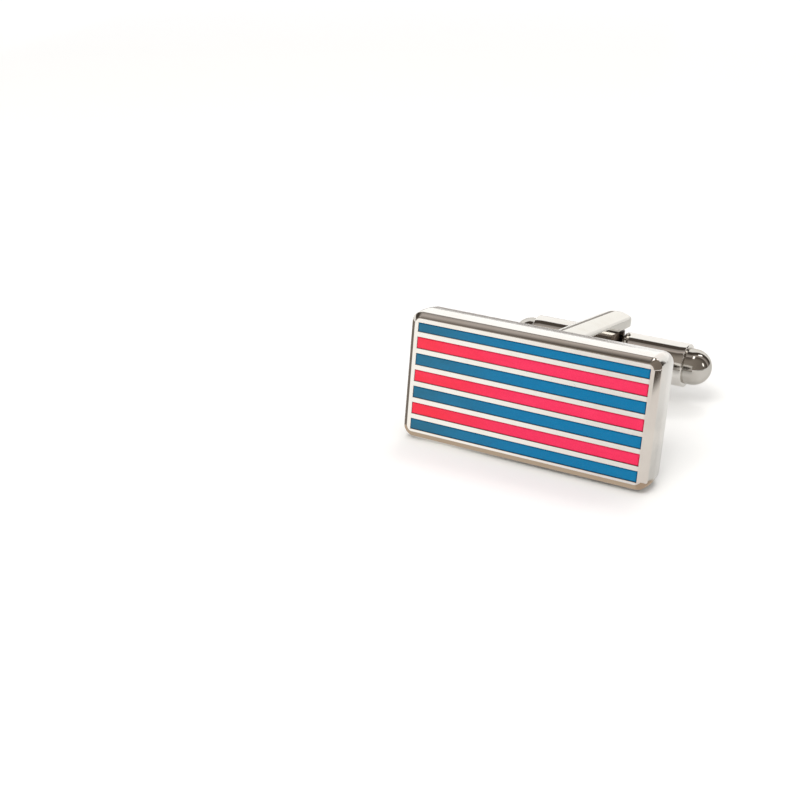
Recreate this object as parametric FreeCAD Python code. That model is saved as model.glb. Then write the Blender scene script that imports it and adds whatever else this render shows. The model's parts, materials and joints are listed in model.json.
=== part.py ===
"""Swivel-bar cufflink: an enamelled box head, a forked post and a barrel toggle with ball ends.

The pieces are drawn upright in a working frame and then set down together as the cufflink stands
on a table, leaning back on its lower post arm.

Working frame, millimetres: X along the head, Y from the face towards the toggle, Z up the head.
The face is at Y = 0 and the head's middle is at X = Z = 0.
"""
import FreeCAD
import Part
import math
import os

from FreeCAD import Placement, Rotation, Vector

# Head
HEAD_W = 20.0
HEAD_H = 10.0
HEAD_T = 3.1
SIDE_CROWN = 0.1
CORNER_R = 0.85
RIM_BEVEL = 0.38
RIM_SOFT_R = 0.12
BACK_EDGE_R = 0.2

# Enamel field
STRIPE_COUNT = 7
SIDE_MARGIN = 0.77
TOP_MARGIN = 0.86
BOTTOM_MARGIN = 0.735
LINE_W = 0.412
TOP_STRIPE_CUT = 0.185
BOTTOM_STRIPE_CUT = 0.06
ENAMEL_DEPTH = 0.6
ENAMEL_SINK = 0.02
ENAMEL_FIT = 0.01
ENAMEL_EDGE_R = 0.07
LINE_BREAK = 0.03

# Inside and back of the head
POCKET_FLOOR_T = 0.6
BACK_PLATE_T = 0.8
BACK_LAND = 0.5
PLATE_CORNER_R = 0.5
PLATE_LEDGE = 0.45
CAVITY_CORNER_R = 0.3
PLATE_FIT = 0.02
PLATE_BREAK = 0.08

# Toggle
BARREL_D = 3.6
BARREL_WALL = 0.45
BARREL_L = 5.5
BARREL_INNER_R = 0.2
BARREL_OUTER_BREAK = 0.08
BALL_STEP = 0.32
BALL_NECK = 0.5
PLUG_SHARE = 0.36
PLUG_FIT = 0.01
PLUG_GAP = 0.2
SPIGOT_SET_BACK = 0.3
HUB_WAIST = 1.8
HUB_RECESS = 0.2
BOSS_WALL = 0.4

# Pivot
PIN_D = 1.2
PIN_CHAMFER = 0.12
PIN_RUN_FIT = 0.03
PIN_SEAT_FIT = 0.02
PIN_COVER = 0.5
HUB_END_FIT = 0.03
WASHER_T = 0.15
WASHER_BOW = 0.12
WASHER_FIT = 0.04

# Post
ARM_W = 2.6
ARM_T = 1.2
ARM_CROWN = 0.4
ARM_EDGE_R = 0.32
ARM_BREAK = 0.12
ARM_DRAFT = 1.6
ARM_TIP_REACH = 0.3
SWING_CLEAR = 0.3
WEB_T = 1.2
WEB_CORNER_R = 1.0
FOLD_CLEAR = 4.5
POST_RISE = 0.37

# Largest share of a wall that its rounding may take, and the reach within which two places are one
ROUNDING_SHARE = 0.8
NEAR = 1e-4

# Search for the lean at rest, in degrees: the most it may be and the number of halvings
LEAN_MOST = 45.0
LEAN_HALVINGS = 30

# Sizes that follow from the ones above
FIELD_H = HEAD_H - TOP_MARGIN - BOTTOM_MARGIN
STRIPE_H = (FIELD_H - (STRIPE_COUNT - 1) * LINE_W + TOP_STRIPE_CUT + BOTTOM_STRIPE_CUT) / STRIPE_COUNT
STRIPE_W = HEAD_W - 2 * SIDE_MARGIN
PLATE_W = HEAD_W - 2 * BACK_LAND
PLATE_H = HEAD_H - 2 * BACK_LAND
BARREL_R = BARREL_D / 2
BARREL_BORE_R = BARREL_R - BARREL_WALL
PLUG_R = BARREL_BORE_R - PLUG_FIT
PLUG_L = PLUG_SHARE * BARREL_L
SPIGOT_L = BARREL_L - SPIGOT_SET_BACK - PLUG_L - PLUG_GAP
BALL_R = BARREL_R - BALL_STEP
BOSS_R = PIN_D / 2 + PIN_RUN_FIT + BOSS_WALL
BARREL_START = BOSS_R + HUB_RECESS
BARREL_END = BARREL_START + BARREL_L
TOGGLE_HALF = BARREL_END + BALL_NECK + BALL_R
ARM_INSIDE = BARREL_R + SWING_CLEAR
ARM_OUTSIDE = ARM_INSIDE + ARM_T
ARM_SHOULDER = ARM_OUTSIDE - ARM_CROWN
ARM_DOME_R = ((ARM_W / 2) ** 2 + ARM_CROWN ** 2) / (2 * ARM_CROWN)
PIN_REACH = ARM_OUTSIDE - PIN_COVER
PIVOT_Y = HEAD_T + WEB_T + FOLD_CLEAR + TOGGLE_HALF
BACK_ROUND = min(BACK_EDGE_R, ROUNDING_SHARE * BACK_LAND)
PIVOT = Vector(0, PIVOT_Y, POST_RISE)

X_AXIS = Vector(1, 0, 0)
Y_AXIS = Vector(0, 1, 0)
Z_AXIS = Vector(0, 0, 1)
ORIGIN = Vector(0, 0, 0)


def rounded_plate(width, height, radius, y_start, y_end):
    """Block with a round-cornered outline in X and Z, from y_start to y_end."""
    block = Part.makeBox(width, y_end - y_start, height, Vector(-width / 2, y_start, -height / 2))
    uprights = [edge for edge in block.Edges if edge.BoundBox.YLength > (y_end - y_start) / 2]
    return block.makeFillet(radius, uprights)


def edges_at_y(shape, y):
    """Edges of a shape that lie wholly in the plane at y."""
    boxes = [(edge, edge.BoundBox) for edge in shape.Edges]
    return [edge for edge, box in boxes if abs(box.YMin - y) < NEAR and abs(box.YMax - y) < NEAR]


def circles_at_x(shape, x, radius):
    """Circular edges about the X axis at x."""
    found = []
    for edge in shape.Edges:
        curve = edge.Curve
        if isinstance(curve, Part.Circle) and abs(curve.Center.x - x) < NEAR:
            if abs(curve.Radius - radius) < NEAR:
                found.append(edge)
    return found


def line(first, second):
    """Straight edge between two points."""
    return Part.LineSegment(first, second).toShape()


def arc(first, middle, last):
    """Round edge through three points."""
    return Part.Arc(first, middle, last).toShape()


def crowned_block(width, depth, height, crown):
    """Block whose four walls swell by the crown half way between its front at Y = 0 and its back."""
    wall_x = width / 2 - crown
    wall_z = height / 2 - crown
    mid = depth / 2
    upright = Part.Face(Part.Wire([
        arc(Vector(0, 0, wall_z), Vector(0, mid, height / 2), Vector(0, depth, wall_z)),
        line(Vector(0, depth, wall_z), Vector(0, depth, -wall_z)),
        arc(Vector(0, depth, -wall_z), Vector(0, mid, -height / 2), Vector(0, 0, -wall_z)),
        line(Vector(0, 0, -wall_z), Vector(0, 0, wall_z)),
    ]))
    level = Part.Face(Part.Wire([
        arc(Vector(wall_x, 0, 0), Vector(width / 2, mid, 0), Vector(wall_x, depth, 0)),
        line(Vector(wall_x, depth, 0), Vector(-wall_x, depth, 0)),
        arc(Vector(-wall_x, depth, 0), Vector(-width / 2, mid, 0), Vector(-wall_x, 0, 0)),
        line(Vector(-wall_x, 0, 0), Vector(wall_x, 0, 0)),
    ]))
    along = upright.extrude(Vector(width, 0, 0)).translated(Vector(-width / 2, 0, 0))
    up = level.extrude(Vector(0, 0, height)).translated(Vector(0, 0, -height / 2))
    return along.common(up)


def stripe_spans():
    """Bottom and top of each enamel stripe, from the top of the field down."""
    spans = []
    cuts = {0: TOP_STRIPE_CUT, STRIPE_COUNT - 1: BOTTOM_STRIPE_CUT}
    top = HEAD_H / 2 - TOP_MARGIN
    for index in range(STRIPE_COUNT):
        height = STRIPE_H - cuts.get(index, 0)
        spans.append((top - height, top))
        top -= height + LINE_W
    return spans


def head_shell():
    """Box head: crowned walls, a bevelled rim, a pocket per stripe and a ledge for its back plate."""
    shell = crowned_block(HEAD_W, HEAD_T, HEAD_H, SIDE_CROWN)
    corners = [edge for edge in shell.Edges if edge.BoundBox.YLength > HEAD_T / 2]
    shell = shell.makeFillet(CORNER_R, corners)
    shell = shell.makeChamfer(RIM_BEVEL, edges_at_y(shell, 0))
    boxes = [(edge, edge.BoundBox) for edge in shell.Edges]
    rim = [edge for edge, box in boxes if box.YMin > RIM_BEVEL / 2 and box.YMax < HEAD_T / 2]
    shell = shell.makeFillet(RIM_SOFT_R, edges_at_y(shell, 0) + rim)
    shell = shell.makeFillet(BACK_ROUND, edges_at_y(shell, HEAD_T))
    for low, high in stripe_spans():
        pocket = Part.makeBox(STRIPE_W, ENAMEL_DEPTH, high - low, Vector(-STRIPE_W / 2, 0, low))
        shell = shell.cut(pocket)
    field_middle = (BOTTOM_MARGIN - TOP_MARGIN) / 2
    lips = [edge for edge in edges_at_y(shell, 0) if abs(edge.CenterOfMass.x) < STRIPE_W / 2 + NEAR
            and abs(edge.CenterOfMass.z - field_middle) < FIELD_H / 2 + NEAR]
    shell = shell.makeChamfer(LINE_BREAK, lips)
    ledge_y = HEAD_T - BACK_PLATE_T
    seat = rounded_plate(PLATE_W, PLATE_H, PLATE_CORNER_R, ledge_y, HEAD_T)
    cavity_w = PLATE_W - 2 * PLATE_LEDGE
    cavity_h = PLATE_H - 2 * PLATE_LEDGE
    cavity = rounded_plate(cavity_w, cavity_h, CAVITY_CORNER_R, ENAMEL_DEPTH + POCKET_FLOOR_T, ledge_y)
    return shell.cut(seat).cut(cavity)


def enamel_stripe(low, high):
    """One stripe of enamel, a hair below the metal, with its surface drawn down round the edge."""
    width = STRIPE_W - 2 * ENAMEL_FIT
    height = high - low - 2 * ENAMEL_FIT
    corner = Vector(-width / 2, ENAMEL_SINK, low + ENAMEL_FIT)
    stripe = Part.makeBox(width, ENAMEL_DEPTH - ENAMEL_SINK, height, corner)
    return stripe.makeFillet(ENAMEL_EDGE_R, edges_at_y(stripe, ENAMEL_SINK))


def back_plate():
    """Plate set into the head's back, with a broken outer edge."""
    width = PLATE_W - 2 * PLATE_FIT
    height = PLATE_H - 2 * PLATE_FIT
    plate = rounded_plate(width, height, PLATE_CORNER_R - PLATE_FIT, HEAD_T - BACK_PLATE_T, HEAD_T)
    return plate.makeChamfer(PLATE_BREAK, edges_at_y(plate, HEAD_T))


def arm_section(half):
    """Domed outline of both arms in X and Z about the pivot; only X > 0 when half is true."""
    side = ARM_W / 2
    right_low = Vector(side, 0, -ARM_SHOULDER)
    right_high = Vector(side, 0, ARM_SHOULDER)
    crown_high = Vector(0, 0, ARM_OUTSIDE)
    crown_low = Vector(0, 0, -ARM_OUTSIDE)
    if half:
        lean = math.asin(side / ARM_DOME_R) / 2
        rise = ARM_OUTSIDE - ARM_DOME_R * (1 - math.cos(lean))
        reach = ARM_DOME_R * math.sin(lean)
        edges = [
            line(right_low, right_high),
            arc(right_high, Vector(reach, 0, rise), crown_high),
            line(crown_high, crown_low),
            arc(crown_low, Vector(reach, 0, -rise), right_low),
        ]
    else:
        left_low = Vector(-side, 0, -ARM_SHOULDER)
        left_high = Vector(-side, 0, ARM_SHOULDER)
        edges = [
            line(right_low, right_high),
            arc(right_high, crown_high, left_high),
            line(left_high, left_low),
            arc(left_low, crown_low, right_low),
        ]
    return Part.Face(Part.Wire(edges))


def drafted_half(bar, side):
    """Upper or lower half of the post's bar, tilted about the pivot so that it thickens to the head."""
    foot = HEAD_T - PIVOT_Y
    length = ARM_TIP_REACH + ARM_W - foot
    height = 2 * ARM_OUTSIDE
    room = Part.makeBox(2 * ARM_W, length, height, Vector(-ARM_W, foot, min(side, 0) * height))
    return bar.rotated(ORIGIN, X_AXIS, -side * ARM_DRAFT).common(room)


def post_frame():
    """Forked post: a domed bar with a round end, slotted to make two arms joined by a web at the head."""
    bar_length = PIVOT_Y + ARM_TIP_REACH - HEAD_T + WEB_T
    bar = arm_section(half=False).extrude(Vector(0, -bar_length, 0))
    tip = arm_section(half=True).revolve(ORIGIN, Z_AXIS, 180)
    post = bar.fuse(tip).removeSplitter()
    shoulders = []
    for edge in post.Edges:
        box = edge.BoundBox
        level = box.ZLength < NEAR and abs(abs(box.ZMin) - ARM_SHOULDER) < NEAR
        if level and box.YMax > -bar_length + NEAR:
            shoulders.append(edge)
    post = post.makeFillet(min(ARM_EDGE_R, ROUNDING_SHARE * (ARM_T - ARM_CROWN) / 2), shoulders)
    post = post.translated(Vector(0, ARM_TIP_REACH, 0))
    post = drafted_half(post, 1).fuse(drafted_half(post, -1)).removeSplitter()
    slot_start = HEAD_T + WEB_T - PIVOT_Y
    slot_length = ARM_TIP_REACH + ARM_W - slot_start
    slot = Part.makeBox(2 * ARM_W, slot_length, 2 * ARM_INSIDE, Vector(-ARM_W, slot_start, -ARM_INSIDE))
    roots = [edge for edge in edges_at_y(slot, slot_start) if edge.BoundBox.XLength > ARM_W]
    slot = slot.makeFillet(min(WEB_CORNER_R, ROUNDING_SHARE * ARM_INSIDE), roots)
    post = post.cut(slot)
    slot_edges = []
    for edge in post.Edges:
        box = edge.BoundBox
        inside = max(-box.ZMin, box.ZMax) < ARM_INSIDE + NEAR
        if inside and (box.XLength < NEAR or box.YLength > NEAR):
            slot_edges.append(edge)
    post = post.makeChamfer(min(ARM_BREAK, ROUNDING_SHARE * SWING_CLEAR), slot_edges)
    holes = Part.makeCylinder(PIN_D / 2 + PIN_SEAT_FIT, 2 * PIN_REACH, Vector(0, 0, -PIN_REACH))
    return post.cut(holes)


def pivot_pin():
    """Plain pin with broken ends, held in the blind holes of both arms."""
    length = 2 * PIN_REACH - PIN_SEAT_FIT
    pin = Part.makeCylinder(PIN_D / 2, length, Vector(0, 0, -PIN_REACH))
    ends = [edge for edge in pin.Edges if isinstance(edge.Curve, Part.Circle)]
    return pin.makeChamfer(PIN_CHAMFER, ends)


def drag_washer():
    """Bowed spring washer under the upper arm; its two sides press up and its middle presses down."""
    side = BOSS_R
    bow_r = (side ** 2 + WASHER_BOW ** 2) / (2 * WASHER_BOW)
    ring_low = ARM_INSIDE - WASHER_T - WASHER_BOW
    bow_axis = Vector(0, -side, ring_low + bow_r)
    outer = Part.makeCylinder(bow_r, 2 * side, bow_axis, Y_AXIS)
    inner = Part.makeCylinder(bow_r - WASHER_T, 2 * side, bow_axis, Y_AXIS)
    ring_height = WASHER_T + WASHER_BOW
    ring = Part.makeCylinder(side, ring_height, Vector(0, 0, ring_low))
    hole = Part.makeCylinder(PIN_D / 2 + WASHER_FIT, ring_height, Vector(0, 0, ring_low))
    return ring.cut(hole).common(outer.cut(inner))


def toggle_hub():
    """Core of the toggle: a bored boss on the pin, a square waist and a spigot for each barrel."""
    boss_low = -ARM_INSIDE + HUB_END_FIT
    boss_high = ARM_INSIDE - WASHER_T - WASHER_BOW - HUB_END_FIT
    hub = Part.makeCylinder(BOSS_R, boss_high - boss_low, Vector(0, 0, boss_low))
    spigot_start = BARREL_START + SPIGOT_SET_BACK
    waist_corner = Vector(-spigot_start, -HUB_WAIST / 2, -HUB_WAIST / 2)
    hub = hub.fuse(Part.makeBox(2 * spigot_start, HUB_WAIST, HUB_WAIST, waist_corner))
    for side in (-1, 1):
        spigot = Part.makeCylinder(PLUG_R, SPIGOT_L, Vector(side * spigot_start, 0, 0), X_AXIS * side)
        hub = hub.fuse(spigot)
    bore = Part.makeCylinder(PIN_D / 2 + PIN_RUN_FIT, 2 * ARM_INSIDE, Vector(0, 0, -ARM_INSIDE))
    return hub.cut(bore).removeSplitter()


def barrel(side):
    """Half of the toggle's barrel: a tube with a round inner rim and a crisp outer one."""
    start = Vector(side * BARREL_START, 0, 0)
    rod = Part.makeCylinder(BARREL_R, BARREL_L, start, X_AXIS * side)
    rod = rod.makeFillet(BARREL_INNER_R, circles_at_x(rod, side * BARREL_START, BARREL_R))
    rod = rod.makeChamfer(BARREL_OUTER_BREAK, circles_at_x(rod, side * BARREL_END, BARREL_R))
    return rod.cut(Part.makeCylinder(BARREL_BORE_R, BARREL_L, start, X_AXIS * side))


def ball_end(side):
    """Bullet-shaped end plug, turned in one piece with the spigot that fits the barrel."""
    plug_start = BARREL_END - PLUG_L
    neck_end = BARREL_END + BALL_NECK
    arc_step = BALL_R * math.sqrt(0.5)
    points = [
        Vector(plug_start, 0, 0),
        Vector(plug_start, PLUG_R, 0),
        Vector(BARREL_END, PLUG_R, 0),
        Vector(BARREL_END, BALL_R, 0),
        Vector(neck_end, BALL_R, 0),
    ]
    tip = Vector(neck_end + BALL_R, 0, 0)
    edges = [line(first, second) for first, second in zip(points, points[1:])]
    edges.append(arc(points[-1], Vector(neck_end + arc_step, arc_step, 0), tip))
    edges.append(line(tip, points[0]))
    plug = Part.Face(Part.Wire(edges)).revolve(ORIGIN, X_AXIS, 360)
    return plug if side > 0 else plug.rotated(ORIGIN, Z_AXIS, 180)


def lowest(shape, turn):
    """Height of a shape's lowest point once it is turned about the origin."""
    return shape.transformed(Placement(ORIGIN, turn).toMatrix()).optimalBoundingBox(False, False).ZMin


def resting_placement(head, post):
    """Turn and lift that set the head's lower wall and the lower arm's round tip on Z = 0 together."""
    upright = 0.0
    leaning = LEAN_MOST
    for _ in range(LEAN_HALVINGS):
        lean = (upright + leaning) / 2
        turn = Rotation(X_AXIS, -lean)
        if lowest(head, turn) < lowest(post, turn):
            upright = lean
        else:
            leaning = lean
    return Placement(Vector(0, 0, -lowest(head, turn)), turn)


def build_pieces():
    """All pieces by name, in the working frame."""
    at_pivot = {"post_frame": post_frame(), "pivot_pin": pivot_pin(), "drag_washer": drag_washer()}
    at_pivot["toggle_hub"] = toggle_hub()
    for name, side in (("left", -1), ("right", 1)):
        at_pivot["barrel_" + name] = barrel(side)
        at_pivot["ball_end_" + name] = ball_end(side)
    pieces = {"head_shell": head_shell(), "back_plate": back_plate()}
    for number, (low, high) in enumerate(stripe_spans(), start=1):
        pieces["enamel_stripe_%d" % number] = enamel_stripe(low, high)
    for name, shape in at_pivot.items():
        pieces[name] = shape.translated(PIVOT)
    return pieces


def stand_on_table(pieces):
    """Pieces set down leaning back, with the origin under the middle of their overall box."""
    rest = resting_placement(pieces["head_shell"], pieces["post_frame"])
    boxes = []
    for shape in pieces.values():
        shape.Placement = rest.multiply(shape.Placement)
        boxes.append(shape.optimalBoundingBox(False, False))
    middle_y = (min(box.YMin for box in boxes) + max(box.YMax for box in boxes)) / 2
    shift = Placement(Vector(0, -middle_y, 0), Rotation())
    for shape in pieces.values():
        shape.Placement = shift.multiply(shape.Placement)
    return shift.multiply(rest)


def main():
    os.makedirs("parts", exist_ok=True)
    pieces = build_pieces()
    frame = stand_on_table(pieces)
    for name, shape in pieces.items():
        shape.exportStep("parts/%s.step" % name)
    print("pivot", frame.multVec(PIVOT), "pivot axis", frame.Rotation.multVec(Z_AXIS))
    print("face centre", frame.multVec(ORIGIN), "face normal", frame.Rotation.multVec(-Y_AXIS))


main()
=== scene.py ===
"""Looks of a swivel-bar cufflink: bright plating, striped enamel, a white table and its studio."""
import json
import logging
import math
from collections.abc import Iterable, Mapping, Sequence
from dataclasses import dataclass
from enum import Enum

import bmesh
import bpy
from mathutils import Matrix, Vector


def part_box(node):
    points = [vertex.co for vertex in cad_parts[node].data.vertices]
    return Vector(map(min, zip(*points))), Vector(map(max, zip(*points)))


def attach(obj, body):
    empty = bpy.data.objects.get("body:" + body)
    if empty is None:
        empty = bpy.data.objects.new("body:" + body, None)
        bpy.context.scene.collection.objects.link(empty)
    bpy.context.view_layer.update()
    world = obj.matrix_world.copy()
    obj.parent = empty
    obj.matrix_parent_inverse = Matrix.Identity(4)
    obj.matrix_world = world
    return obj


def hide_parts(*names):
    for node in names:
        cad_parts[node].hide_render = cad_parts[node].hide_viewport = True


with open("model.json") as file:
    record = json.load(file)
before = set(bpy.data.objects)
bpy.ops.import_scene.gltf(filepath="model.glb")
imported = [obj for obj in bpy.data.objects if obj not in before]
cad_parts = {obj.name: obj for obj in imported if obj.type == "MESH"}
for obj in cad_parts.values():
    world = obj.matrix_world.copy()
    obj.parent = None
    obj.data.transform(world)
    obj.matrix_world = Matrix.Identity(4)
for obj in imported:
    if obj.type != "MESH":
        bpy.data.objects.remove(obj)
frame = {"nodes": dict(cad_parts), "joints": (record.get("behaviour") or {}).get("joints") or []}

LOG = logging.getLogger("cufflink")
MM = 0.001

Colour = tuple[float, float, float]
Triple = tuple[float, float, float]
Span = tuple[float, float]

X_WAY: Triple = (1.0, 0.0, 0.0)
Y_WAY: Triple = (0.0, 1.0, 0.0)
Z_WAY: Triple = (0.0, 0.0, 1.0)
BLACK: Colour = (0.0, 0.0, 0.0)
WHITE: Colour = (1.0, 1.0, 1.0)


class Body(Enum):
    """Bodies that pieces ride on."""

    LINK = "link"
    TOGGLE = "toggle"


class Side(Enum):
    """Halves of the toggle, with the sign of X that each lies on."""

    LEFT = -1
    RIGHT = 1

    @property
    def word(self) -> str:
        """Ending of this half's node names."""
        return self.name.lower()


class Polish(Enum):
    """Ways a plated surface was polished: how its hairlines are stretched in X, Y and Z."""

    ALONG_HEAD = (0.12, 14.0, 14.0)
    ALONG_POST = (14.0, 0.14, 14.0)
    TURNED = (16.0, 0.5, 0.5)
    TUMBLED = (3.0, 3.0, 3.0)


class Wire:
    """An output socket that takes part in Python expressions, each operator adding its Math node."""

    def __init__(self, sheet: "NodeSheet", socket: bpy.types.NodeSocket) -> None:
        """Keep the socket and the sheet that its expressions are drawn on."""
        self.sheet = sheet
        self.socket = socket

    def __add__(self, other: "Wire | float") -> "Wire":
        """Sum with a value or another wire."""
        return self.sheet.maths("ADD", self, other)

    def __radd__(self, other: float) -> "Wire":
        """Sum with a value on the left."""
        return self.sheet.maths("ADD", other, self)

    def __sub__(self, other: "Wire | float") -> "Wire":
        """Difference from a value or another wire."""
        return self.sheet.maths("SUBTRACT", self, other)

    def __rsub__(self, other: float) -> "Wire":
        """Difference with a value on the left."""
        return self.sheet.maths("SUBTRACT", other, self)

    def __mul__(self, other: "Wire | float") -> "Wire":
        """Product with a value or another wire."""
        return self.sheet.maths("MULTIPLY", self, other)

    def __rmul__(self, other: float) -> "Wire":
        """Product with a value on the left."""
        return self.sheet.maths("MULTIPLY", other, self)

    def __abs__(self) -> "Wire":
        """Size without sign."""
        return self.sheet.maths("ABSOLUTE", self)

    def least(self, other: "Wire | float") -> "Wire":
        """Lesser of this and another value."""
        return self.sheet.maths("MINIMUM", self, other)

    def wrapped(self, span: float) -> "Wire":
        """Distance from the nearest whole multiple of a span."""
        return self.sheet.maths("PINGPONG", self, span / 2)

    def step(self, low: float, high: float) -> "Wire":
        """Smooth rise from 0 at low to 1 at high, or fall where low is the higher.

        Args:
            low: value at which the step is 0.
            high: value at which the step is 1.

        Returns:
            The step, from 0 to 1.
        """
        rising = low < high
        ends = {"From Min": min(low, high), "From Max": max(low, high)}
        ends |= {"To Min": 0.0 if rising else 1.0, "To Max": 1.0 if rising else 0.0}
        settings = {"interpolation_type": "SMOOTHSTEP"}
        return self.sheet.add("ShaderNodeMapRange", settings, {"Value": self} | ends, "Result")


class NodeSheet:
    """Node tree of a material or of the world, with the few helpers that draw on it."""

    def __init__(self, tree: bpy.types.NodeTree) -> None:
        """Empty the tree and keep it."""
        self.tree = tree
        tree.nodes.clear()

    def add(self, kind: str, settings: Mapping[str, object], inputs: Mapping[str, object],
            out: str = "") -> Wire | None:
        """Add one node.

        Args:
            kind: the node's Blender type.
            settings: properties to set first.
            inputs: values, or wires, by the socket's name or identifier.
            out: name or identifier of the socket that goes on.

        Returns:
            The wire from that socket; nothing from a node that has none.
        """
        node = self.tree.nodes.new(kind)
        for key, value in settings.items():
            setattr(node, key, value)
        for key, value in inputs.items():
            socket = self.find(node.inputs, key)
            if isinstance(value, Wire):
                self.tree.links.new(value.socket, socket)
            elif isinstance(value, tuple) and socket.type == "RGBA":
                socket.default_value = (*value, 1.0)
            else:
                socket.default_value = value
        return Wire(self, self.find(node.outputs, out)) if out else None

    @staticmethod
    def find(sockets: Iterable[bpy.types.NodeSocket], key: str) -> bpy.types.NodeSocket:
        """Socket with that identifier, or else with that name."""
        same = next((socket for socket in sockets if socket.identifier == key), None)
        return same or next(socket for socket in sockets if socket.name == key)

    def maths(self, operation: str, first: "Wire | float", second: "Wire | float | None" = None) -> Wire:
        """Math node on one or two values.

        Args:
            operation: the node's operation.
            first: value or wire.
            second: value or wire, where the operation takes two.

        Returns:
            The result.
        """
        inputs: dict[str, object] = {"Value": first}
        if second is not None:
            inputs["Value_001"] = second
        return self.add("ShaderNodeMath", {"operation": operation}, inputs, "Value")

    def dot(self, vector: Wire, direction: Triple) -> Wire:
        """Dot product of a vector with a fixed direction."""
        inputs = {"Vector": vector, "Vector_001": direction}
        return self.add("ShaderNodeVectorMath", {"operation": "DOT_PRODUCT"}, inputs, "Value")

    def stretched(self, vector: Wire, by: Triple) -> Wire:
        """Vector multiplied axis by axis."""
        inputs = {"Vector": vector, "Vector_001": by}
        return self.add("ShaderNodeVectorMath", {"operation": "MULTIPLY"}, inputs, "Vector")

    def mix(self, factor: "Wire | float", first: "Wire | Colour", second: "Wire | Colour") -> Wire:
        """Blend of two colours.

        Args:
            factor: share of the second colour.
            first: colour at 0.
            second: colour at 1.

        Returns:
            The blended colour.
        """
        inputs = {"Factor_Float": factor, "A_Color": first, "B_Color": second}
        return self.add("ShaderNodeMix", {"data_type": "RGBA"}, inputs, "Result_Color")

    def bump(self, height: Wire) -> Wire:
        """Normal roughened by a height in millimetres."""
        return self.add("ShaderNodeBump", {}, {"Height": height, "Strength": 1.0, "Distance": MM}, "Normal")


@dataclass(frozen=True)
class Grain:
    """Layer of fractal noise: its scale, octaves and their weight, the band that shows, and its stretch."""

    scale: float
    detail: float
    weight: float = 0.5
    band: Span = (0.0, 1.0)
    stretch: Triple | None = None

    def value(self, sheet: NodeSheet, place: Wire) -> Wire:
        """Noise at a place.

        Args:
            sheet: node tree to draw on.
            place: where to read it.

        Returns:
            The noise, from 0 to 1.
        """
        where = sheet.stretched(place, self.stretch) if self.stretch else place
        inputs = {"Vector": where, "Scale": self.scale, "Detail": self.detail, "Roughness": self.weight}
        return sheet.add("ShaderNodeTexNoise", {}, inputs, "Fac")

    def patches(self, sheet: NodeSheet, place: Wire) -> Wire:
        """Noise stepped from 0 to 1 across its band."""
        return self.value(sheet, place).step(*self.band)


@dataclass(frozen=True)
class WorkFrame:
    """Axes of the cufflink as it was drawn upright: X along the head, Y from the face back, Z up."""

    origin: Triple
    lean: float

    @classmethod
    def of_swivel(cls) -> "WorkFrame":
        """Axes at the pivot, from the swivel joint."""
        joint = frame["joints"][0]
        return cls(tuple(joint["pos_m"]), math.atan2(joint["axis"][1], joint["axis"][2]))

    @property
    def matrix(self) -> Matrix:
        """Placement of these axes, from millimetres to the row frame."""
        turn = Matrix.Rotation(-self.lean, 4, "X")
        return Matrix.Translation(self.origin) @ turn @ Matrix.Scale(MM, 4)

    def local(self, point: Vector) -> Vector:
        """Place of a point of the row frame along these axes, in millimetres."""
        return self.matrix.inverted() @ point

    def coordinates(self, sheet: NodeSheet) -> Wire:
        """Shading point along these axes, in millimetres.

        Args:
            sheet: node tree to draw on.

        Returns:
            The vector.
        """
        place = sheet.add("ShaderNodeTexCoord", {}, {}, "Object")
        turn = (-self.lean, 0.0, 0.0)
        inputs = {"Vector": place, "Location": self.origin, "Rotation": turn, "Scale": (MM, MM, MM)}
        return sheet.add("ShaderNodeMapping", {"vector_type": "TEXTURE"}, inputs, "Vector")


@dataclass(frozen=True)
class Finish:
    """What every finish shares: a name, and a material that is most often one principled shader."""

    name: str

    def surface(self, sheet: NodeSheet) -> dict[str, object]:
        """Values and wires of the principled shader's sockets."""
        raise NotImplementedError

    def shader(self, sheet: NodeSheet) -> Wire:
        """Shader of the whole surface."""
        return sheet.add("ShaderNodeBsdfPrincipled", {}, self.surface(sheet), "BSDF")

    def material(self) -> bpy.types.Material:
        """Make the material.

        Returns:
            The material, with its node tree.
        """
        material = bpy.data.materials.new(self.name)
        material.use_nodes = True
        sheet = NodeSheet(material.node_tree)
        sheet.add("ShaderNodeOutputMaterial", {"is_active_output": True}, {"Surface": self.shader(sheet)})
        return material


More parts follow.
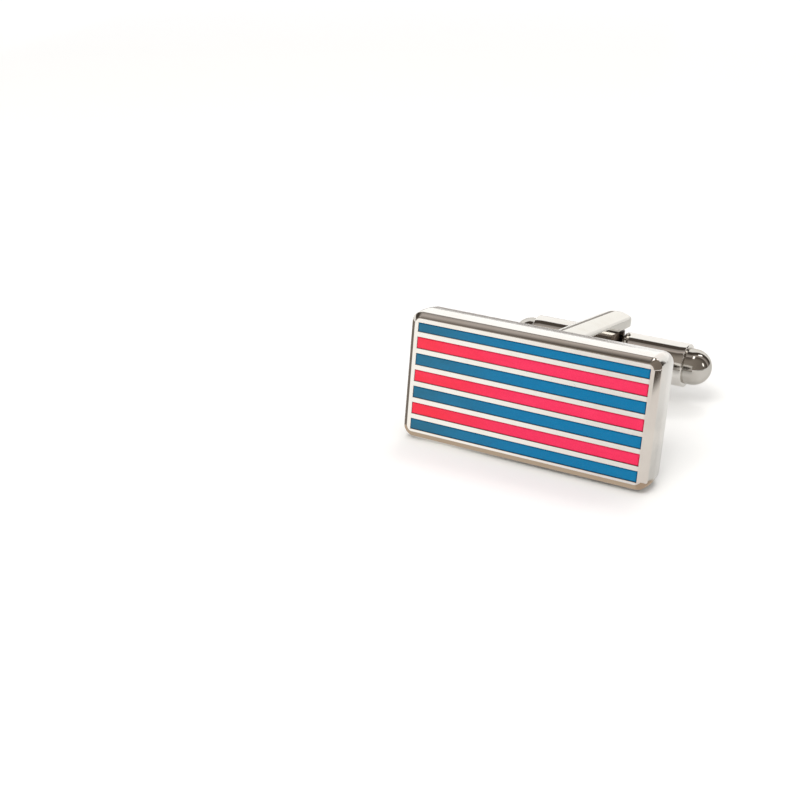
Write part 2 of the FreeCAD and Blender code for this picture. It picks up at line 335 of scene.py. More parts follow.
@dataclass(frozen=True)
class PlatedFinish(Finish):
    """Bright plating: a clear mirror with soft polishing waves, hairlines, haze and faint warm tone."""

    axes: WorkFrame
    polish: Polish
    tint: Colour = (0.665, 0.645, 0.615)
    warm: Colour = (0.625, 0.585, 0.535)
    roughness: float = 0.055
    haze: float = 0.05
    wave_mm: float = 0.0012
    hairline_mm: float = 0.00004
    grazing: Colour = (0.90, 0.895, 0.885)
    warm_share: float = 0.6
    hair_satin: float = 0.03
    pit_colour: Colour = (0.30, 0.27, 0.24)
    pit_share: float = 0.35
    pit_satin: float = 0.12
    pit_mm: float = 0.0004
    clouds: Grain = Grain(0.55, 3.0, band=(0.42, 0.78))
    breath: Grain = Grain(2.4, 4.0, 0.6, band=(0.45, 0.8))
    hairs: Grain = Grain(1.0, 3.0, 0.65)
    waves: Grain = Grain(0.38, 1.0)
    pits: Grain = Grain(7.5, 2.0, band=(0.70, 0.78))

    def surface(self, sheet: NodeSheet) -> dict[str, object]:
        """Values and wires of the principled shader's sockets.

        Args:
            sheet: node tree to draw on.

        Returns:
            Each socket's value or wire.
        """
        place = self.axes.coordinates(sheet)
        hair = self.hairs.value(sheet, sheet.stretched(place, self.polish.value))
        wave = self.waves.value(sheet, place)
        pit = self.pits.patches(sheet, place)
        warmth = self.clouds.patches(sheet, place) * self.warm_share
        tone = sheet.mix(warmth, self.bright(sheet, place), self.warm)
        rough = self.roughness + self.haze * self.breath.patches(sheet, place)
        rough = rough + hair * self.hair_satin + pit * self.pit_satin
        height = wave * self.wave_mm + hair * self.hairline_mm - pit * self.pit_mm
        return {
            "Base Color": sheet.mix(pit * self.pit_share, tone, self.pit_colour),
            "Metallic": 1.0,
            "Roughness": rough + self.satin(sheet, place),
            "Specular Tint": self.grazing,
            "Normal": sheet.bump(height + self.form(sheet, place)),
        }

    def bright(self, sheet: NodeSheet, place: Wire) -> "Wire | Colour":
        """Colour of clean plating; one tint on a plain bright piece."""
        return self.tint

    def satin(self, sheet: NodeSheet, place: Wire) -> "Wire | float":
        """Roughness added where the polish is duller; none on a plain bright piece."""
        return 0.0

    def form(self, sheet: NodeSheet, place: Wire) -> "Wire | float":
        """Height in millimetres left by the polishing wheel; none on a plain bright piece."""
        return 0.0


@dataclass(frozen=True)
class PostPlating(PlatedFinish):
    """Plating of the post, with painted shade that darkens its sides and round ends against its crowns."""

    grazing: Colour = (0.86, 0.855, 0.83)
    # Painted shade: the colour that the sides and round ends darken to.
    side_shade_tint: Colour = (0.49, 0.475, 0.45)
    tip_mm: float = 0.3
    crown_half_mm: float = 1.02
    side_half_mm: float = 1.26

    def bright(self, sheet: NodeSheet, place: Wire) -> Wire:
        """Colour of clean plating, with painted shade darker down the sides and round the ends.

        Args:
            sheet: node tree to draw on.
            place: shading point from the pivot.

        Returns:
            The colour.
        """
        across = sheet.dot(place, X_WAY)
        past_tip = (self.tip_mm - sheet.dot(place, Y_WAY)).least(0.0)
        reach = across * across + past_tip * past_tip
        side = reach.step(self.crown_half_mm ** 2, self.side_half_mm ** 2)
        return sheet.mix(side, self.tint, self.side_shade_tint)


@dataclass(frozen=True)
class HeadPlating(PlatedFinish):
    """Plating of the head: its walls behind the bright rim are a little duller in polish, and painted shade
    darkens them and the right end of its face.
    """

    grazing: Colour = WHITE
    # Painted shade: a darker right end of the face, darker end walls, and darker still towards their bottom.
    margin_shade_tint: Colour = (0.575, 0.530, 0.490)
    margin_mm: Span = (9.1, 9.3)
    wall_shade_tint: Colour = (0.53, 0.515, 0.49)
    wall_low_shade: Colour = (0.42, 0.405, 0.38)
    wall_end_mm: Span = (9.3, 9.8)
    wall_low_mm: Span = (2.2, -0.5)
    wall_front_mm: Span = (0.0, 0.25)
    satin_front_mm: Span = (0.25, 0.55)
    wall_satin: float = 0.06
    roll_start_mm: float = 1.45
    roll_slope: float = 0.042
    bevel_middle_mm: float = -0.12
    bevel_half_mm: float = 0.19
    bevel_crown: float = 0.29

    def bright(self, sheet: NodeSheet, place: Wire) -> Wire:
        """Colour of clean plating, with painted shade at the right end of the face and on the end walls,
        darker towards their bottom.

        Args:
            sheet: node tree to draw on.
            place: shading point from the face's middle.

        Returns:
            The colour.
        """
        across = sheet.dot(place, X_WAY)
        # Painted shade at the right end of the face, on the end walls and towards their bottom.
        face = sheet.mix(across.step(*self.margin_mm), self.tint, self.margin_shade_tint)
        wall = sheet.mix(sheet.dot(place, Z_WAY).step(*self.wall_low_mm), self.wall_shade_tint, self.wall_low_shade)
        behind_rim = sheet.dot(place, Y_WAY).step(*self.wall_front_mm)
        return sheet.mix(behind_rim * abs(across).step(*self.wall_end_mm), face, wall)

    def satin(self, sheet: NodeSheet, place: Wire) -> Wire:
        """Roughness added on the walls."""
        return sheet.dot(place, Y_WAY).step(*self.satin_front_mm) * self.wall_satin

    def form(self, sheet: NodeSheet, place: Wire) -> Wire:
        """Slight crown that polishing leaves across the rim's bevel, and its roll-off at the walls' back.

        Args:
            sheet: node tree to draw on.
            place: shading point from the face's middle.

        Returns:
            The height in millimetres.
        """
        depth = sheet.dot(place, Y_WAY)
        across = depth - self.bevel_middle_mm
        crown = (across * across).least(self.bevel_half_mm ** 2) * self.bevel_crown
        return (self.roll_start_mm - depth).least(0.0) * self.roll_slope - crown


@dataclass(frozen=True)
class EnamelField:
    """Layout of the enamel stripes on the face, in millimetres from its middle."""

    pitch: float = 1.2946
    stripe_half: float = 0.4413
    half_width: float = 9.23
    top: float = 4.14
    bottom: float = 4.265

    def depth_from_edge(self, sheet: NodeSheet, place: Wire) -> Wire:
        """Distance of a point inside its stripe's outline.

        Args:
            sheet: node tree to draw on.
            place: shading point from the face's middle.

        Returns:
            The distance in millimetres.
        """
        across = abs(sheet.dot(place, X_WAY))
        up = sheet.dot(place, Z_WAY)
        in_stripe = self.stripe_half - abs(up).wrapped(self.pitch)
        return in_stripe.least(self.half_width - across).least(self.top - up).least(up + self.bottom)


@dataclass(frozen=True)
class EnamelFinish(Finish):
    """Hard enamel: a ground and polished filling with fine pigment grain, painted shade along its edge and
    painted warmer light towards its left end.
    """

    axes: WorkFrame
    colour: Colour
    deep: Colour
    pale: Colour
    # Painted light: the warmer colour that the enamel shifts to towards its left end.
    warm: Colour
    layout: EnamelField = EnamelField()
    # Painted shade: the stripes darken towards their edges.
    edge_shade_mm: Span = (0.11, 0.02)
    edge_shade_share: float = 0.6
    left_light_mm: Span = (1.0, -9.0)
    pale_share: float = 0.35
    grain_share: float = 0.22
    ripple_mm: float = 0.0009
    grain_mm: float = 0.00012
    speck_mm: float = 0.0006
    roughness: float = 0.24
    grain_satin: float = 0.10
    speck_satin: float = 0.2
    gloss: float = 0.28
    left_gloss: float = 0.2
    speck_gloss: float = 0.2
    coat_roughness: float = 0.04
    clouds: Grain = Grain(0.9, 3.0, band=(0.35, 0.75), stretch=(0.35, 1.0, 1.0))
    pigment: Grain = Grain(16.0, 3.0, 0.65, band=(0.35, 0.70))
    ripples: Grain = Grain(1.1, 2.0, stretch=(0.5, 1.0, 1.0))
    specks: Grain = Grain(9.0, 2.0, band=(0.72, 0.79))

    def surface(self, sheet: NodeSheet) -> dict[str, object]:
        """Values and wires of the principled shader's sockets.

        Args:
            sheet: node tree to draw on.

        Returns:
            Each socket's value or wire.
        """
        place = self.axes.coordinates(sheet)
        grain = self.pigment.value(sheet, place)
        speck = self.specks.patches(sheet, place)
        # Painted shade along each stripe's edge.
        edge = self.layout.depth_from_edge(sheet, place).step(*self.edge_shade_mm)
        # Painted warmer light towards the left end.
        left_light = sheet.dot(place, X_WAY).step(*self.left_light_mm)
        left_lit = sheet.mix(left_light, self.colour, self.warm)
        mottled = sheet.mix(self.clouds.patches(sheet, place) * self.pale_share, left_lit, self.pale)
        grained = sheet.mix(grain.step(*self.pigment.band) * self.grain_share, mottled, self.deep)
        ripple = self.ripples.value(sheet, place)
        height = ripple * self.ripple_mm + grain * self.grain_mm - speck * self.speck_mm
        return {
            "Base Color": sheet.mix(edge * self.edge_shade_share, grained, self.deep),
            "Roughness": self.roughness + grain * self.grain_satin + speck * self.speck_satin,
            "Specular IOR Level": 0.0,
            "Coat Weight": self.gloss + self.left_gloss * left_light - speck * self.speck_gloss,
            "Coat Roughness": self.coat_roughness,
            "Normal": sheet.bump(height),
        }


@dataclass(frozen=True)
class SteelFinish(Finish):
    """Bare spring steel with fine drawn lines and a little oil haze."""

    axes: WorkFrame
    tint: Colour = (0.52, 0.51, 0.50)
    dark: Colour = (0.30, 0.28, 0.26)
    oil_share: float = 0.6
    roughness: float = 0.2
    drawn_satin: float = 0.18
    oil_satin: float = 0.08
    drawn_mm: float = 0.0004
    drawn_lines: Grain = Grain(1.0, 3.0, 0.6, stretch=(22.0, 22.0, 1.2))
    oil_haze: Grain = Grain(2.2, 3.0, band=(0.4, 0.7))

    def surface(self, sheet: NodeSheet) -> dict[str, object]:
        """Values and wires of the principled shader's sockets.

        Args:
            sheet: node tree to draw on.

        Returns:
            Each socket's value or wire.
        """
        place = self.axes.coordinates(sheet)
        drawn = self.drawn_lines.value(sheet, place)
        oil = self.oil_haze.value(sheet, place)
        return {
            "Base Color": sheet.mix(oil.step(*self.oil_haze.band) * self.oil_share, self.tint, self.dark),
            "Metallic": 1.0,
            "Roughness": self.roughness + drawn * self.drawn_satin + oil * self.oil_satin,
            "Normal": sheet.bump(drawn * self.drawn_mm),
        }


@dataclass(frozen=True)
class TableFinish(Finish):
    """Smooth white table top with a trace of mottling, running out to plain white away from the cufflink."""

    colour: Colour = (0.93, 0.928, 0.922)
    shade: Colour = (0.90, 0.897, 0.89)
    run_out_m: Span = (0.13, 0.26)
    roughness: float = 0.7
    mottle_satin: float = 0.1
    sheen: float = 0.1
    mottling: Grain = Grain(9.0, 3.0)

    def surface(self, sheet: NodeSheet) -> dict[str, object]:
        """Values and wires of the principled shader's sockets.

        Args:
            sheet: node tree to draw on.

        Returns:
            Each socket's value or wire.
        """
        place = sheet.add("ShaderNodeTexCoord", {}, {}, "Object")
        mottle = self.mottling.value(sheet, place)
        reach = sheet.add("ShaderNodeVectorMath", {"operation": "LENGTH"}, {"Vector": place}, "Value")
        run_out = reach.step(*self.run_out_m)
        return {
            "Base Color": sheet.mix(run_out, sheet.mix(mottle, self.colour, self.shade), BLACK),
            "Roughness": self.roughness + mottle * self.mottle_satin,
            "Specular IOR Level": self.sheen,
            "Emission Color": sheet.mix(run_out, BLACK, WHITE),
            "Emission Strength": 1.0,
        }


def dress(obj: bpy.types.Object, material: bpy.types.Material) -> None:
    """Give an object one material.

    Args:
        obj: CAD node or new piece.
        material: its finish.
    """
    if obj.material_slots:
        for slot in obj.material_slots:
            slot.material = material
    else:
        obj.data.materials.append(material)
    LOG.info("%s wears %s", obj.name, material.name)


def plated_piece(name: str, mesh: bmesh.types.BMesh, body: Body, sharp_deg: float) -> bpy.types.Object:
    """Turn a finished mesh into a plated piece that rides on a body.

    Args:
        name: the piece's name.
        mesh: its mesh in the row frame, freed here.
        body: what it moves with.
        sharp_deg: edges bent by more than this stay crisp.

    Returns:
        The piece.
    """
    bmesh.ops.recalc_face_normals(mesh, faces=mesh.faces)
    data = bpy.data.meshes.new(name)
    mesh.to_mesh(data)
    mesh.free()
    data.shade_smooth()
    data.set_sharp_from_angle(angle=math.radians(sharp_deg))
    piece = bpy.data.objects.new(name, data)
    bpy.context.scene.collection.objects.link(piece)
    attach(piece, body.value)
    LOG.info("%s built with %d faces", name, len(data.polygons))
    return piece


def quarter_arc(middle: tuple[float, float], radius: float, start_deg: float, end_deg: float,
                count: int) -> list[tuple[float, float]]:
    """Points along an arc of a profile.

    Args:
        middle: centre of the arc.
        radius: its radius.
        start_deg: angle of the first point.
        end_deg: angle of the last point.
        count: number of steps.

    Returns:
        The points.
    """
    turns = [math.radians(start_deg + (end_deg - start_deg) * i / count) for i in range(count + 1)]
    return [(middle[0] + radius * math.cos(t), middle[1] + radius * math.sin(t)) for t in turns]


def lathe(profile: Sequence[tuple[float, float]], placing: Matrix, segments: int) -> bmesh.types.BMesh:
    """Surface turned about the X axis.

    Args:
        profile: places along the axis and radii, from axis to axis, or else joined end to end.
        placing: from the profile's frame to the row frame.
        segments: facets round the axis.

    Returns:
        The mesh.
    """
    mesh = bmesh.new()
    rings = []
    turns = [2 * math.pi * i / segments for i in range(segments)]
    for along, radius in profile:
        if radius <= 0.0:
            rings.append([mesh.verts.new(placing @ Vector((along, 0.0, 0.0)))])
            continue
        points = [Vector((along, radius * math.cos(t), radius * math.sin(t))) for t in turns]
        rings.append([mesh.verts.new(placing @ point) for point in points])
    pairs = list(zip(rings, rings[1:]))
    if len(rings[0]) > 1:
        pairs.append((rings[-1], rings[0]))
    for first, second in pairs:
        for i in range(segments):
            j = (i + 1) % segments
            if len(first) == 1:
                mesh.faces.new((first[0], second[i], second[j]))
            elif len(second) == 1:
                mesh.faces.new((first[i], first[j], second[0]))
            else:
                mesh.faces.new((first[i], first[j], second[j], second[i]))
    return mesh


@dataclass
class Head:
    """Box head: plated shell, back plate and seven enamel stripes."""

    axes: WorkFrame
    stripes: int = 7
    # Each enamel's last colour is painted warmer light towards the left end.
    red: Colour = (0.80, 0.029, 0.102)
    red_deep: Colour = (0.50, 0.008, 0.035)
    red_pale: Colour = (0.84, 0.044, 0.124)
    red_left_light: Colour = (0.80, 0.021, 0.048)
    blue: Colour = (0.0015, 0.162, 0.345)
    blue_deep: Colour = (0.0005, 0.052, 0.130)
    blue_pale: Colour = (0.003, 0.180, 0.362)
    blue_left_light: Colour = (0.007, 0.118, 0.205)

    @property
    def face_axes(self) -> WorkFrame:
        """Axes at the middle of the enamel face."""
        low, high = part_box("enamel_stripe_%d" % ((self.stripes + 1) // 2))
        return WorkFrame(tuple((low + high) / 2), self.axes.lean)

    def dress(self) -> None:
        """Give the shell, the plate and the stripes their finishes."""
        face = self.face_axes
        shell = HeadPlating("polished_head_plating", face, Polish.ALONG_HEAD).material()
        plate = PlatedFinish("brushed_back_plating", face, Polish.ALONG_HEAD, roughness=0.10, haze=0.08,
                             hairline_mm=0.0002).material()
        red = EnamelFinish("red_hard_enamel", face, self.red, self.red_deep, self.red_pale,
                           self.red_left_light).material()
        blue = EnamelFinish("blue_hard_enamel", face, self.blue, self.blue_deep, self.blue_pale,
                            self.blue_left_light).material()
        dress(frame["nodes"]["head_shell"], shell)
        dress(frame["nodes"]["back_plate"], plate)
        for number in range(1, self.stripes + 1):
            dress(frame["nodes"]["enamel_stripe_%d" % number], red if number % 2 == 0 else blue)


@dataclass
class Post:
    """Forked post, with the bead of solder round its foot."""

    axes: WorkFrame
    bead_mm: float = 0.34
    bead_rings: int = 7
    bead_steps: int = 96
    bead_swells: tuple[Triple, ...] = ((0.10, 0.71, 0.0), (0.06, 1.93, 1.0))
    bead_sharp_deg: float = 60.0
    foot_depth_mm: float = 0.01
    least_side_mm: float = 0.001
    look_steps: int = 2

    def foot_outline(self) -> list[tuple[Vector, Vector]]:
        """Walk round the post's foot, where it meets the back plate.

        Returns:
            Points in millimetres along the working axes, each with its outward direction.
        """
        post = frame["nodes"]["post_frame"]
        places = [self.axes.local(post.matrix_world @ vertex.co) for vertex in post.data.vertices]
        foot = min(place.y for place in places)
        corners = [place for place in places if place.y < foot + self.foot_depth_mm]
        corners.sort(key=lambda place: math.atan2(place.z, place.x))
        sides = [(b - a).length for a, b in zip(corners, corners[1:] + corners[:1])]
        walk = []
        for step in range(self.bead_steps):
            left = sum(sides) * step / self.bead_steps
            index = 0
            while left > sides[index]:
                left -= sides[index]
                index += 1
            share = left / max(sides[index], self.least_side_mm)
            walk.append(corners[index].lerp(corners[(index + 1) % len(corners)], share))
        ahead = walk[self.look_steps:] + walk[:self.look_steps]
        behind = walk[-self.look_steps:] + walk[:-self.look_steps]
        along = [(b - a).normalized() for a, b in zip(behind, ahead)]
        return [(point, Vector((way.z, 0.0, -way.x))) for point, way in zip(walk, along)]

    def bead_width(self, step: int) -> float:
        """Width in millimetres at one step of the walk, wavering as a hand-run bead does."""
        swell = sum(share * math.sin(step * pace + lead) for share, pace, lead in self.bead_swells)
        return self.bead_mm * (1 + swell)

    def solder_bead(self) -> bpy.types.Object:
        """Build the hollow-faced bead between the back plate and the post.

        Returns:
            The piece.
        """
        mesh = bmesh.new()
        rings = []
        walk = self.foot_outline()
        for i in range(self.bead_rings):
            turn = math.pi / 2 * i / (self.bead_rings - 1)
            ring = []
            for k, (point, out) in enumerate(walk):
                width = self.bead_width(k)
                spread = width * (1 - math.cos(turn))
                rise = width * (1 - math.sin(turn))
                place = point + out * spread + Vector((0.0, rise, 0.0))
                ring.append(mesh.verts.new(self.axes.matrix @ place))
            rings.append(ring)
        rings.append([mesh.verts.new(self.axes.matrix @ point) for point, _ in walk])
        for first, second in zip(rings, rings[1:] + rings[:1]):
            for k in range(len(walk)):
                n = (k + 1) % len(walk)
                mesh.faces.new((first[k], first[n], second[n], second[k]))
        return plated_piece("post_solder_bead", mesh, Body.LINK, self.bead_sharp_deg)

    def dress(self) -> None:
        """Give the post and its bead their finishes."""
        plating = PostPlating("polished_post_plating", self.axes, Polish.ALONG_POST).material()
        solder = PlatedFinish("plated_solder", self.axes, Polish.TUMBLED, roughness=0.16, haze=0.12,
                              wave_mm=0.004, hairline_mm=0.0008).material()
        dress(frame["nodes"]["post_frame"], plating)
        dress(self.solder_bead(), solder)


@dataclass
class Toggle:
    """Swivelling bar: hub, two barrel halves and two ball ends."""

    axes: WorkFrame
    bore_mm: float = 1.35
    plug_mm: float = 1.34
    inner_round_mm: float = 0.2
    outer_break_mm: float = 0.08
    neck_mm: float = 0.5
    segments: int = 128
    round_steps: int = 8
    break_steps: int = 5
    barrel_steps: int = 10
    ball_steps: int = 40
    sharp_deg: float = 50.0
    # Painted shade: the ball ends' plating is darkened for the shaded table that they mirror.
    ball_shade_tint: Colour = (0.49, 0.47, 0.44)
    ball_shade_warm: Colour = (0.45, 0.42, 0.38)
    ball_shade_grazing: Colour = (0.72, 0.71, 0.69)
    # Painted shade: the hub's plating is darkened for the shadow it sits in under the arms.
    hub_shade_tint: Colour = (0.16, 0.13, 0.105)
    hub_shade_warm: Colour = (0.10, 0.08, 0.062)

    def measure(self, node: str) -> tuple[float, float, float]:
        """Reach of a turned node along X from the pivot, and its radius.

        Args:
            node: CAD node, turned about X.

        Returns:
            Nearer end, farther end and radius, in millimetres.
        """
        low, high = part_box(node)
        ends = sorted((abs(low.x) / MM, abs(high.x) / MM))
        return ends[0], ends[1], (high.y - low.y) / 2 / MM

    def placing(self, side: Side) -> Matrix:
        """From a profile drawn towards +X to the row frame."""
        return self.axes.matrix @ Matrix.Scale(side.value, 4, X_WAY)

    def barrel(self, side: Side) -> bpy.types.Object:
        """Build one barrel half.

        Args:
            side: which half.

        Returns:
            The piece, which stands for its CAD node.
        """
        start, end, radius = self.measure("barrel_" + side.word)
        soft = self.inner_round_mm
        crisp = self.outer_break_mm
        profile = [(start, self.bore_mm)]
        profile += quarter_arc((start + soft, radius - soft), soft, 180.0, 90.0, self.round_steps)
        step = (end - crisp - start - soft) / self.barrel_steps
        profile += [(start + soft + step * i, radius) for i in range(1, self.barrel_steps)]
        profile += quarter_arc((end - crisp, radius - crisp), crisp, 90.0, 0.0, self.break_steps)
        profile += [(end, self.bore_mm)]
        mesh = lathe(profile, self.placing(side), self.segments)
        piece = plated_piece("barrel_%s_turned" % side.word, mesh, Body.TOGGLE, self.sharp_deg)
        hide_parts("barrel_" + side.word)
        return piece

    def ball_end(self, side: Side) -> bpy.types.Object:
        """Build one ball end.

        Args:
            side: which end.

        Returns:
            The piece, which stands for its CAD node.
        """
        shoulder = self.measure("barrel_" + side.word)[1]
        start, tip, radius = self.measure("ball_end_" + side.word)
        neck = shoulder + self.neck_mm
        profile = [(start, 0.0), (start, self.plug_mm), (shoulder, self.plug_mm), (shoulder, radius)]
        profile += [(shoulder + self.neck_mm / 2, radius)]
        profile += quarter_arc((neck, 0.0), tip - neck, 90.0, 0.0, self.ball_steps)[:-1]
        profile += [(tip, 0.0)]
        mesh = lathe(profile, self.placing(side), self.segments)
        piece = plated_piece("ball_end_%s_turned" % side.word, mesh, Body.TOGGLE, self.sharp_deg)
        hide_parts("ball_end_" + side.word)
        return piece

    def dress(self) -> None:
        """Build the turned pieces and give everything on the bar its finish."""
        turned = PlatedFinish("turned_barrel_plating", self.axes, Polish.TURNED).material()
        # The ball ends wear plating darkened as painted shade.
        ball = PlatedFinish("polished_ball_plating", self.axes, Polish.TUMBLED, self.ball_shade_tint,
                            self.ball_shade_warm, roughness=0.08, grazing=self.ball_shade_grazing).material()
        # The hub wears rougher plating, darkened as painted shade.
        hub = PlatedFinish("dulled_shaded_hub_plating", self.axes, Polish.TUMBLED, self.hub_shade_tint,
                           self.hub_shade_warm, roughness=0.26, haze=0.12).material()
        dress(frame["nodes"]["toggle_hub"], hub)
        for side in Side:
            dress(self.barrel(side), turned)
            dress(self.ball_end(side), ball)


@dataclass
class Swivel:
    """Pin and drag washer of the swivel."""

    axes: WorkFrame

    def dress(self) -> None:
        """Give the pin and the washer bare steel."""
        steel = SteelFinish("bare_spring_steel", self.axes).material()
        dress(frame["nodes"]["pivot_pin"], steel)
        dress(frame["nodes"]["drag_washer"], steel)


@dataclass(frozen=True)
class PhotoCamera:
    """Camera of the photograph: place, aim and lens."""

    place_mm: Triple = (38.8653, -98.2249, 46.6530)
    heading_deg: float = -29.0419
    pitch_deg: float = 23.2921
    roll_deg: float = 0.6877
    lens_mm: float = 64.294
    sensor_mm: float = 36.0
    sight_m: float = 10.0

    def level_axes(self) -> tuple[Vector, Vector]:
        """Level directions away from the camera and to its right."""
        turn = math.radians(self.heading_deg)
        return Vector((math.sin(turn), math.cos(turn), 0.0)), Vector((math.cos(turn), -math.sin(turn), 0.0))

    def build(self) -> None:
        """Add the camera and make it the scene's own."""
        away, right = self.level_axes()
        pitch, roll = math.radians(self.pitch_deg), math.radians(self.roll_deg)
        up = away * math.sin(pitch) + Vector((0.0, 0.0, math.cos(pitch)))
        tilted_right = right * math.cos(roll) + up * math.sin(roll)
        tilted_up = up * math.cos(roll) - right * math.sin(roll)
        back = tilted_right.cross(tilted_up)
        data = bpy.data.cameras.new("photo_camera")
        data.lens = self.lens_mm
        data.sensor_width = self.sensor_mm
        data.clip_start = MM
        data.clip_end = self.sight_m
        camera = bpy.data.objects.new("photo_camera", data)
        turn = Matrix((tilted_right, tilted_up, back)).transposed().to_4x4()
        camera.matrix_world = Matrix.Translation(Vector(self.place_mm) * MM) @ turn
        bpy.context.scene.collection.objects.link(camera)
        bpy.context.scene.camera = camera


@dataclass(frozen=True)
class SoftBox:
    """One rectangular lamp that faces the cufflink, placed by its bearing from the camera's heading."""

    name: str
    bearing_deg: float
    height_deg: float
    distance_m: float
    width_m: float
    length_m: float
    watts: float
    mirrored: bool = True
    tint: Colour = (1.0, 0.985, 0.96)

    def build(self, camera: PhotoCamera) -> None:
        """Add the lamp.

        Args:
            camera: gives the heading that the bearing is taken from.
        """
        turn = math.radians(camera.heading_deg + self.bearing_deg)
        rise = math.radians(self.height_deg)
        out = Vector((math.sin(turn) * math.cos(rise), math.cos(turn) * math.cos(rise), math.sin(rise)))
        data = bpy.data.lights.new(self.name, "AREA")
        data.shape = "RECTANGLE"
        data.size = self.width_m
        data.size_y = self.length_m
        data.energy = self.watts
        data.color = self.tint
        lamp = bpy.data.objects.new(self.name, data)
        lamp.visible_glossy = self.mirrored
        turn_to = out.to_track_quat("Z", "Y").to_matrix().to_4x4()
        lamp.matrix_world = Matrix.Translation(out * self.distance_m) @ turn_to
        bpy.context.scene.collection.objects.link(lamp)


@dataclass(frozen=True)
class CardFinish(Finish):
    """Card that fades in along one direction, with soft sides and far end: a painted reflection."""

    card: "TableCard"
    outward: Triple
    sideways: Triple

    def shader(self, sheet: NodeSheet) -> Wire:
        """Shader of the whole card.

        Args:
            sheet: node tree to draw on.

        Returns:
            The shader, clear at the card's edges and glowing between them.
        """
        place = sheet.stretched(sheet.add("ShaderNodeTexCoord", {}, {}, "Object"), (1 / MM, 1 / MM, 1 / MM))
        card = self.card
        half = card.width_mm / 2
        along = sheet.dot(place, self.outward)
        aside = abs(sheet.dot(place, self.sideways) - card.shift_mm)
        cover = along.step(card.clear_mm, card.full_mm) * along.step(card.far_mm, card.far_mm - card.fade_mm)
        clear = sheet.add("ShaderNodeBsdfTransparent", {}, {}, "BSDF")
        glow = sheet.add("ShaderNodeEmission", {}, {"Color": card.colour, "Strength": 1.0}, "Emission")
        inputs = {"Fac": cover * aside.step(half, half - card.fade_mm), "Shader": clear, "Shader_001": glow}
        return sheet.add("ShaderNodeMixShader", {}, inputs, "Shader")


@dataclass(frozen=True)
class TableCard:
    """Glowing card laid on the table near the cufflink, seen only in its polish: a painted reflection, dark
    for painted shade and pale for painted light.
    """

    name: str
    bearing_deg: float
    clear_mm: float
    full_mm: float
    far_mm: float
    width_mm: float
    colour: Colour = (0.10, 0.085, 0.07)
    shift_mm: float = 0.0
    lift_mm: float = 0.2
    fade_mm: float = 5.0

    def build(self, camera: PhotoCamera) -> None:
        """Lay the card.

        Args:
            camera: gives the heading that the bearing is taken from.
        """
        turn = math.radians(camera.heading_deg + self.bearing_deg)
        out = Vector((math.sin(turn), math.cos(turn), 0.0))
        across = Vector((-out.y, out.x, 0.0))
        place = across * self.shift_mm + Vector((0.0, 0.0, self.lift_mm))
        half = across * self.width_mm / 2
        corners = [out * self.clear_mm - half, out * self.far_mm - half]
        corners += [out * self.far_mm + half, out * self.clear_mm + half]
        mesh = bmesh.new()
        mesh.faces.new([mesh.verts.new((corner + place) * MM) for corner in corners])
        data = bpy.data.meshes.new(self.name)
        mesh.to_mesh(data)
        mesh.free()
        card = bpy.data.objects.new(self.name, data)
        card.visible_camera = False
        card.visible_diffuse = False
        card.visible_transmission = False
        card.visible_volume_scatter = False
        card.visible_shadow = False
        bpy.context.scene.collection.objects.link(card)
        dress(card, CardFinish(self.name, self, tuple(out), tuple(across)).material())


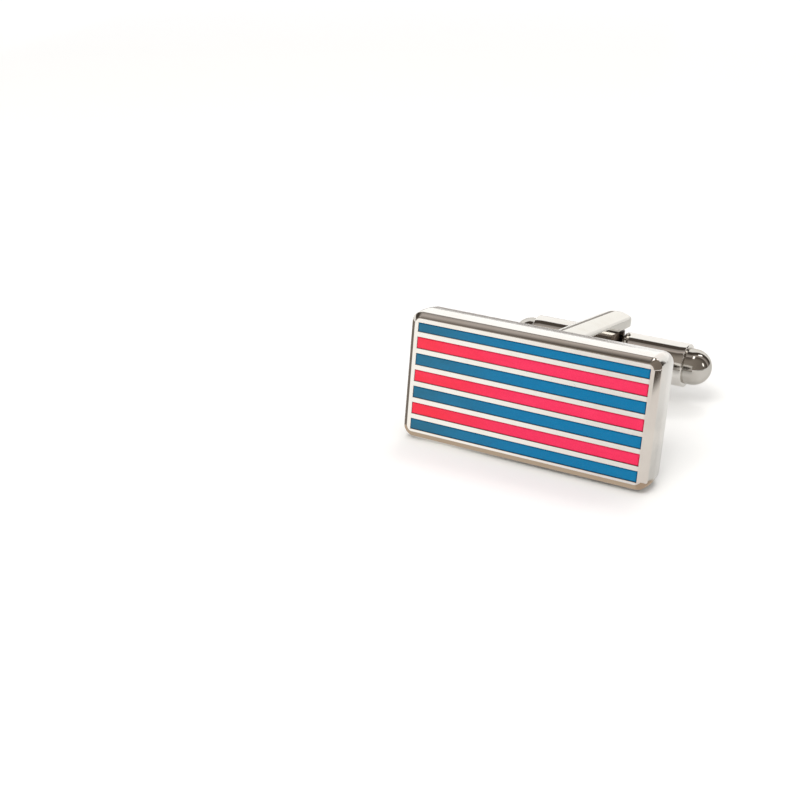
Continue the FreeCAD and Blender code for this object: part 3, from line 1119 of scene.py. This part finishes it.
@dataclass
class Studio:
    """White table, the bright sweep behind it, the dim room in front, the lamps and the cards that paint
    reflections.
    """

    camera: PhotoCamera
    table_m: float = 0.9
    table_cells: int = 8
    sweep_from: Span = (0.55, 0.61)
    front_from: Span = (0.0, -0.5)
    front_share: float = 0.7
    front_slope: float = 0.3
    glow_from: Span = (-0.12, 0.03)
    glow_to: Span = (0.28, 0.18)
    peak_to: Span = (0.03, 0.12)
    fill_turn: Span = (-0.7, 0.7)
    sweep: Colour = (1.41, 1.40, 1.375)
    room_dark: Colour = (0.085, 0.070, 0.058)
    room_peak: Colour = (0.61, 0.545, 0.50)
    room_glow: Colour = (0.40, 0.365, 0.335)
    room_pale: Colour = (0.42, 0.37, 0.32)
    fill_front: Colour = (0.83, 0.824, 0.815)
    fill_back: Colour = (0.56, 0.556, 0.55)
    lamps: tuple[SoftBox, ...] = (
        SoftBox("key_lamp", bearing_deg=-150.0, height_deg=52.0, distance_m=0.50,
                width_m=0.22, length_m=0.22, watts=1.02, mirrored=False),
        SoftBox("over_lamp", bearing_deg=25.0, height_deg=64.0, distance_m=0.60,
                width_m=0.16, length_m=0.16, watts=0.60, mirrored=False),
        SoftBox("zenith_glint", bearing_deg=-155.0, height_deg=82.0, distance_m=0.60,
                width_m=0.10, length_m=0.17, watts=0.18),
        SoftBox("high_glint", bearing_deg=63.0, height_deg=55.7, distance_m=0.60,
                width_m=0.08, length_m=0.20, watts=0.16),
        SoftBox("side_glint", bearing_deg=122.0, height_deg=24.0, distance_m=0.60,
                width_m=0.08, length_m=0.17, watts=0.12),
    )
    # Painted reflections seen only in the polish: dark cards paint shade, the tan foot card paints the
    # shaded table under the head's front, and the pale reflector card paints light.
    cards: tuple[TableCard, ...] = (
        TableCard("front_card", bearing_deg=138.0, clear_mm=46.0, full_mm=55.0, far_mm=95.0,
                  width_mm=60.0),
        TableCard("back_card", bearing_deg=12.0, clear_mm=52.0, full_mm=62.0, far_mm=440.0,
                  width_mm=126.0, colour=(0.40, 0.37, 0.35), shift_mm=60.0),
        TableCard("left_card", bearing_deg=-62.0, clear_mm=7.0, full_mm=10.0, far_mm=60.0,
                  width_mm=27.0, colour=(0.24, 0.205, 0.175)),
        TableCard("foot_card", bearing_deg=-150.96, clear_mm=7.2, full_mm=8.2, far_mm=11.5,
                  width_mm=23.0, colour=(0.62, 0.49, 0.37), shift_mm=-0.5, lift_mm=0.3, fade_mm=0.5),
        TableCard("reflector_card", bearing_deg=-38.5, clear_mm=-16.0, full_mm=6.0, far_mm=40.0,
                  width_mm=192.0, colour=(1.42, 1.40, 1.35), shift_mm=104.0, lift_mm=0.1),
    )

    def table(self) -> None:
        """Lay the table top under the cufflink."""
        mesh = bmesh.new()
        cells = self.table_cells
        bmesh.ops.create_grid(mesh, x_segments=cells, y_segments=cells, size=self.table_m / 2)
        data = bpy.data.meshes.new("table_top")
        mesh.to_mesh(data)
        mesh.free()
        top = bpy.data.objects.new("table_top", data)
        bpy.context.scene.collection.objects.link(top)
        dress(top, TableFinish("white_table").material())

    def room(self) -> None:
        """Draw the sweep and the room on the world; the camera itself sees plain white."""
        world = bpy.data.worlds.new("studio_room")
        world.use_nodes = True
        bpy.context.scene.world = world
        sheet = NodeSheet(world.node_tree)
        look = sheet.add("ShaderNodeTexCoord", {}, {}, "Generated")
        away, right = self.camera.level_axes()
        behind = sheet.dot(look, tuple(away))
        rightward = sheet.dot(look, tuple(right))
        forward = behind.step(*self.front_from) * (self.front_share - self.front_slope * rightward)
        dim = sheet.mix(forward, self.room_dark, self.room_pale)
        glow = sheet.mix(behind.step(*self.peak_to), self.room_peak, self.room_glow)
        dim = sheet.mix(behind.step(*self.glow_from) * behind.step(*self.glow_to), dim, glow)
        mirrored = sheet.mix(behind.step(*self.sweep_from), dim, self.sweep)
        soft = sheet.mix(behind.step(*self.fill_turn), self.fill_front, self.fill_back)
        polished = sheet.add("ShaderNodeLightPath", {}, {}, "Is Glossy Ray")
        seen = sheet.add("ShaderNodeLightPath", {}, {}, "Is Camera Ray")
        shown = sheet.mix(seen, sheet.mix(polished, soft, mirrored), WHITE)
        backdrop = sheet.add("ShaderNodeBackground", {}, {"Color": shown, "Strength": 1.0}, "Background")
        sheet.add("ShaderNodeOutputWorld", {"is_active_output": True}, {"Surface": backdrop})

    def build(self) -> None:
        """Set the table, the room, the lamps, the cards and the camera."""
        self.table()
        self.room()
        for lamp in self.lamps:
            lamp.build(self.camera)
            LOG.info("lamp %s", lamp.name)
        for card in self.cards:
            card.build(self.camera)
        self.camera.build()
        bpy.context.scene.view_settings.view_transform = "Standard"


def main() -> None:
    """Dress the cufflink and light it."""
    logging.basicConfig(level=logging.INFO, format="%(name)s: %(message)s")
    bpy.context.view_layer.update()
    axes = WorkFrame.of_swivel()
    for assembly in (Head(axes), Post(axes), Toggle(axes), Swivel(axes)):
        assembly.dress()
        LOG.info("%s done", type(assembly).__name__)
    Studio(PhotoCamera()).build()


if __name__ == "__main__":
    main()
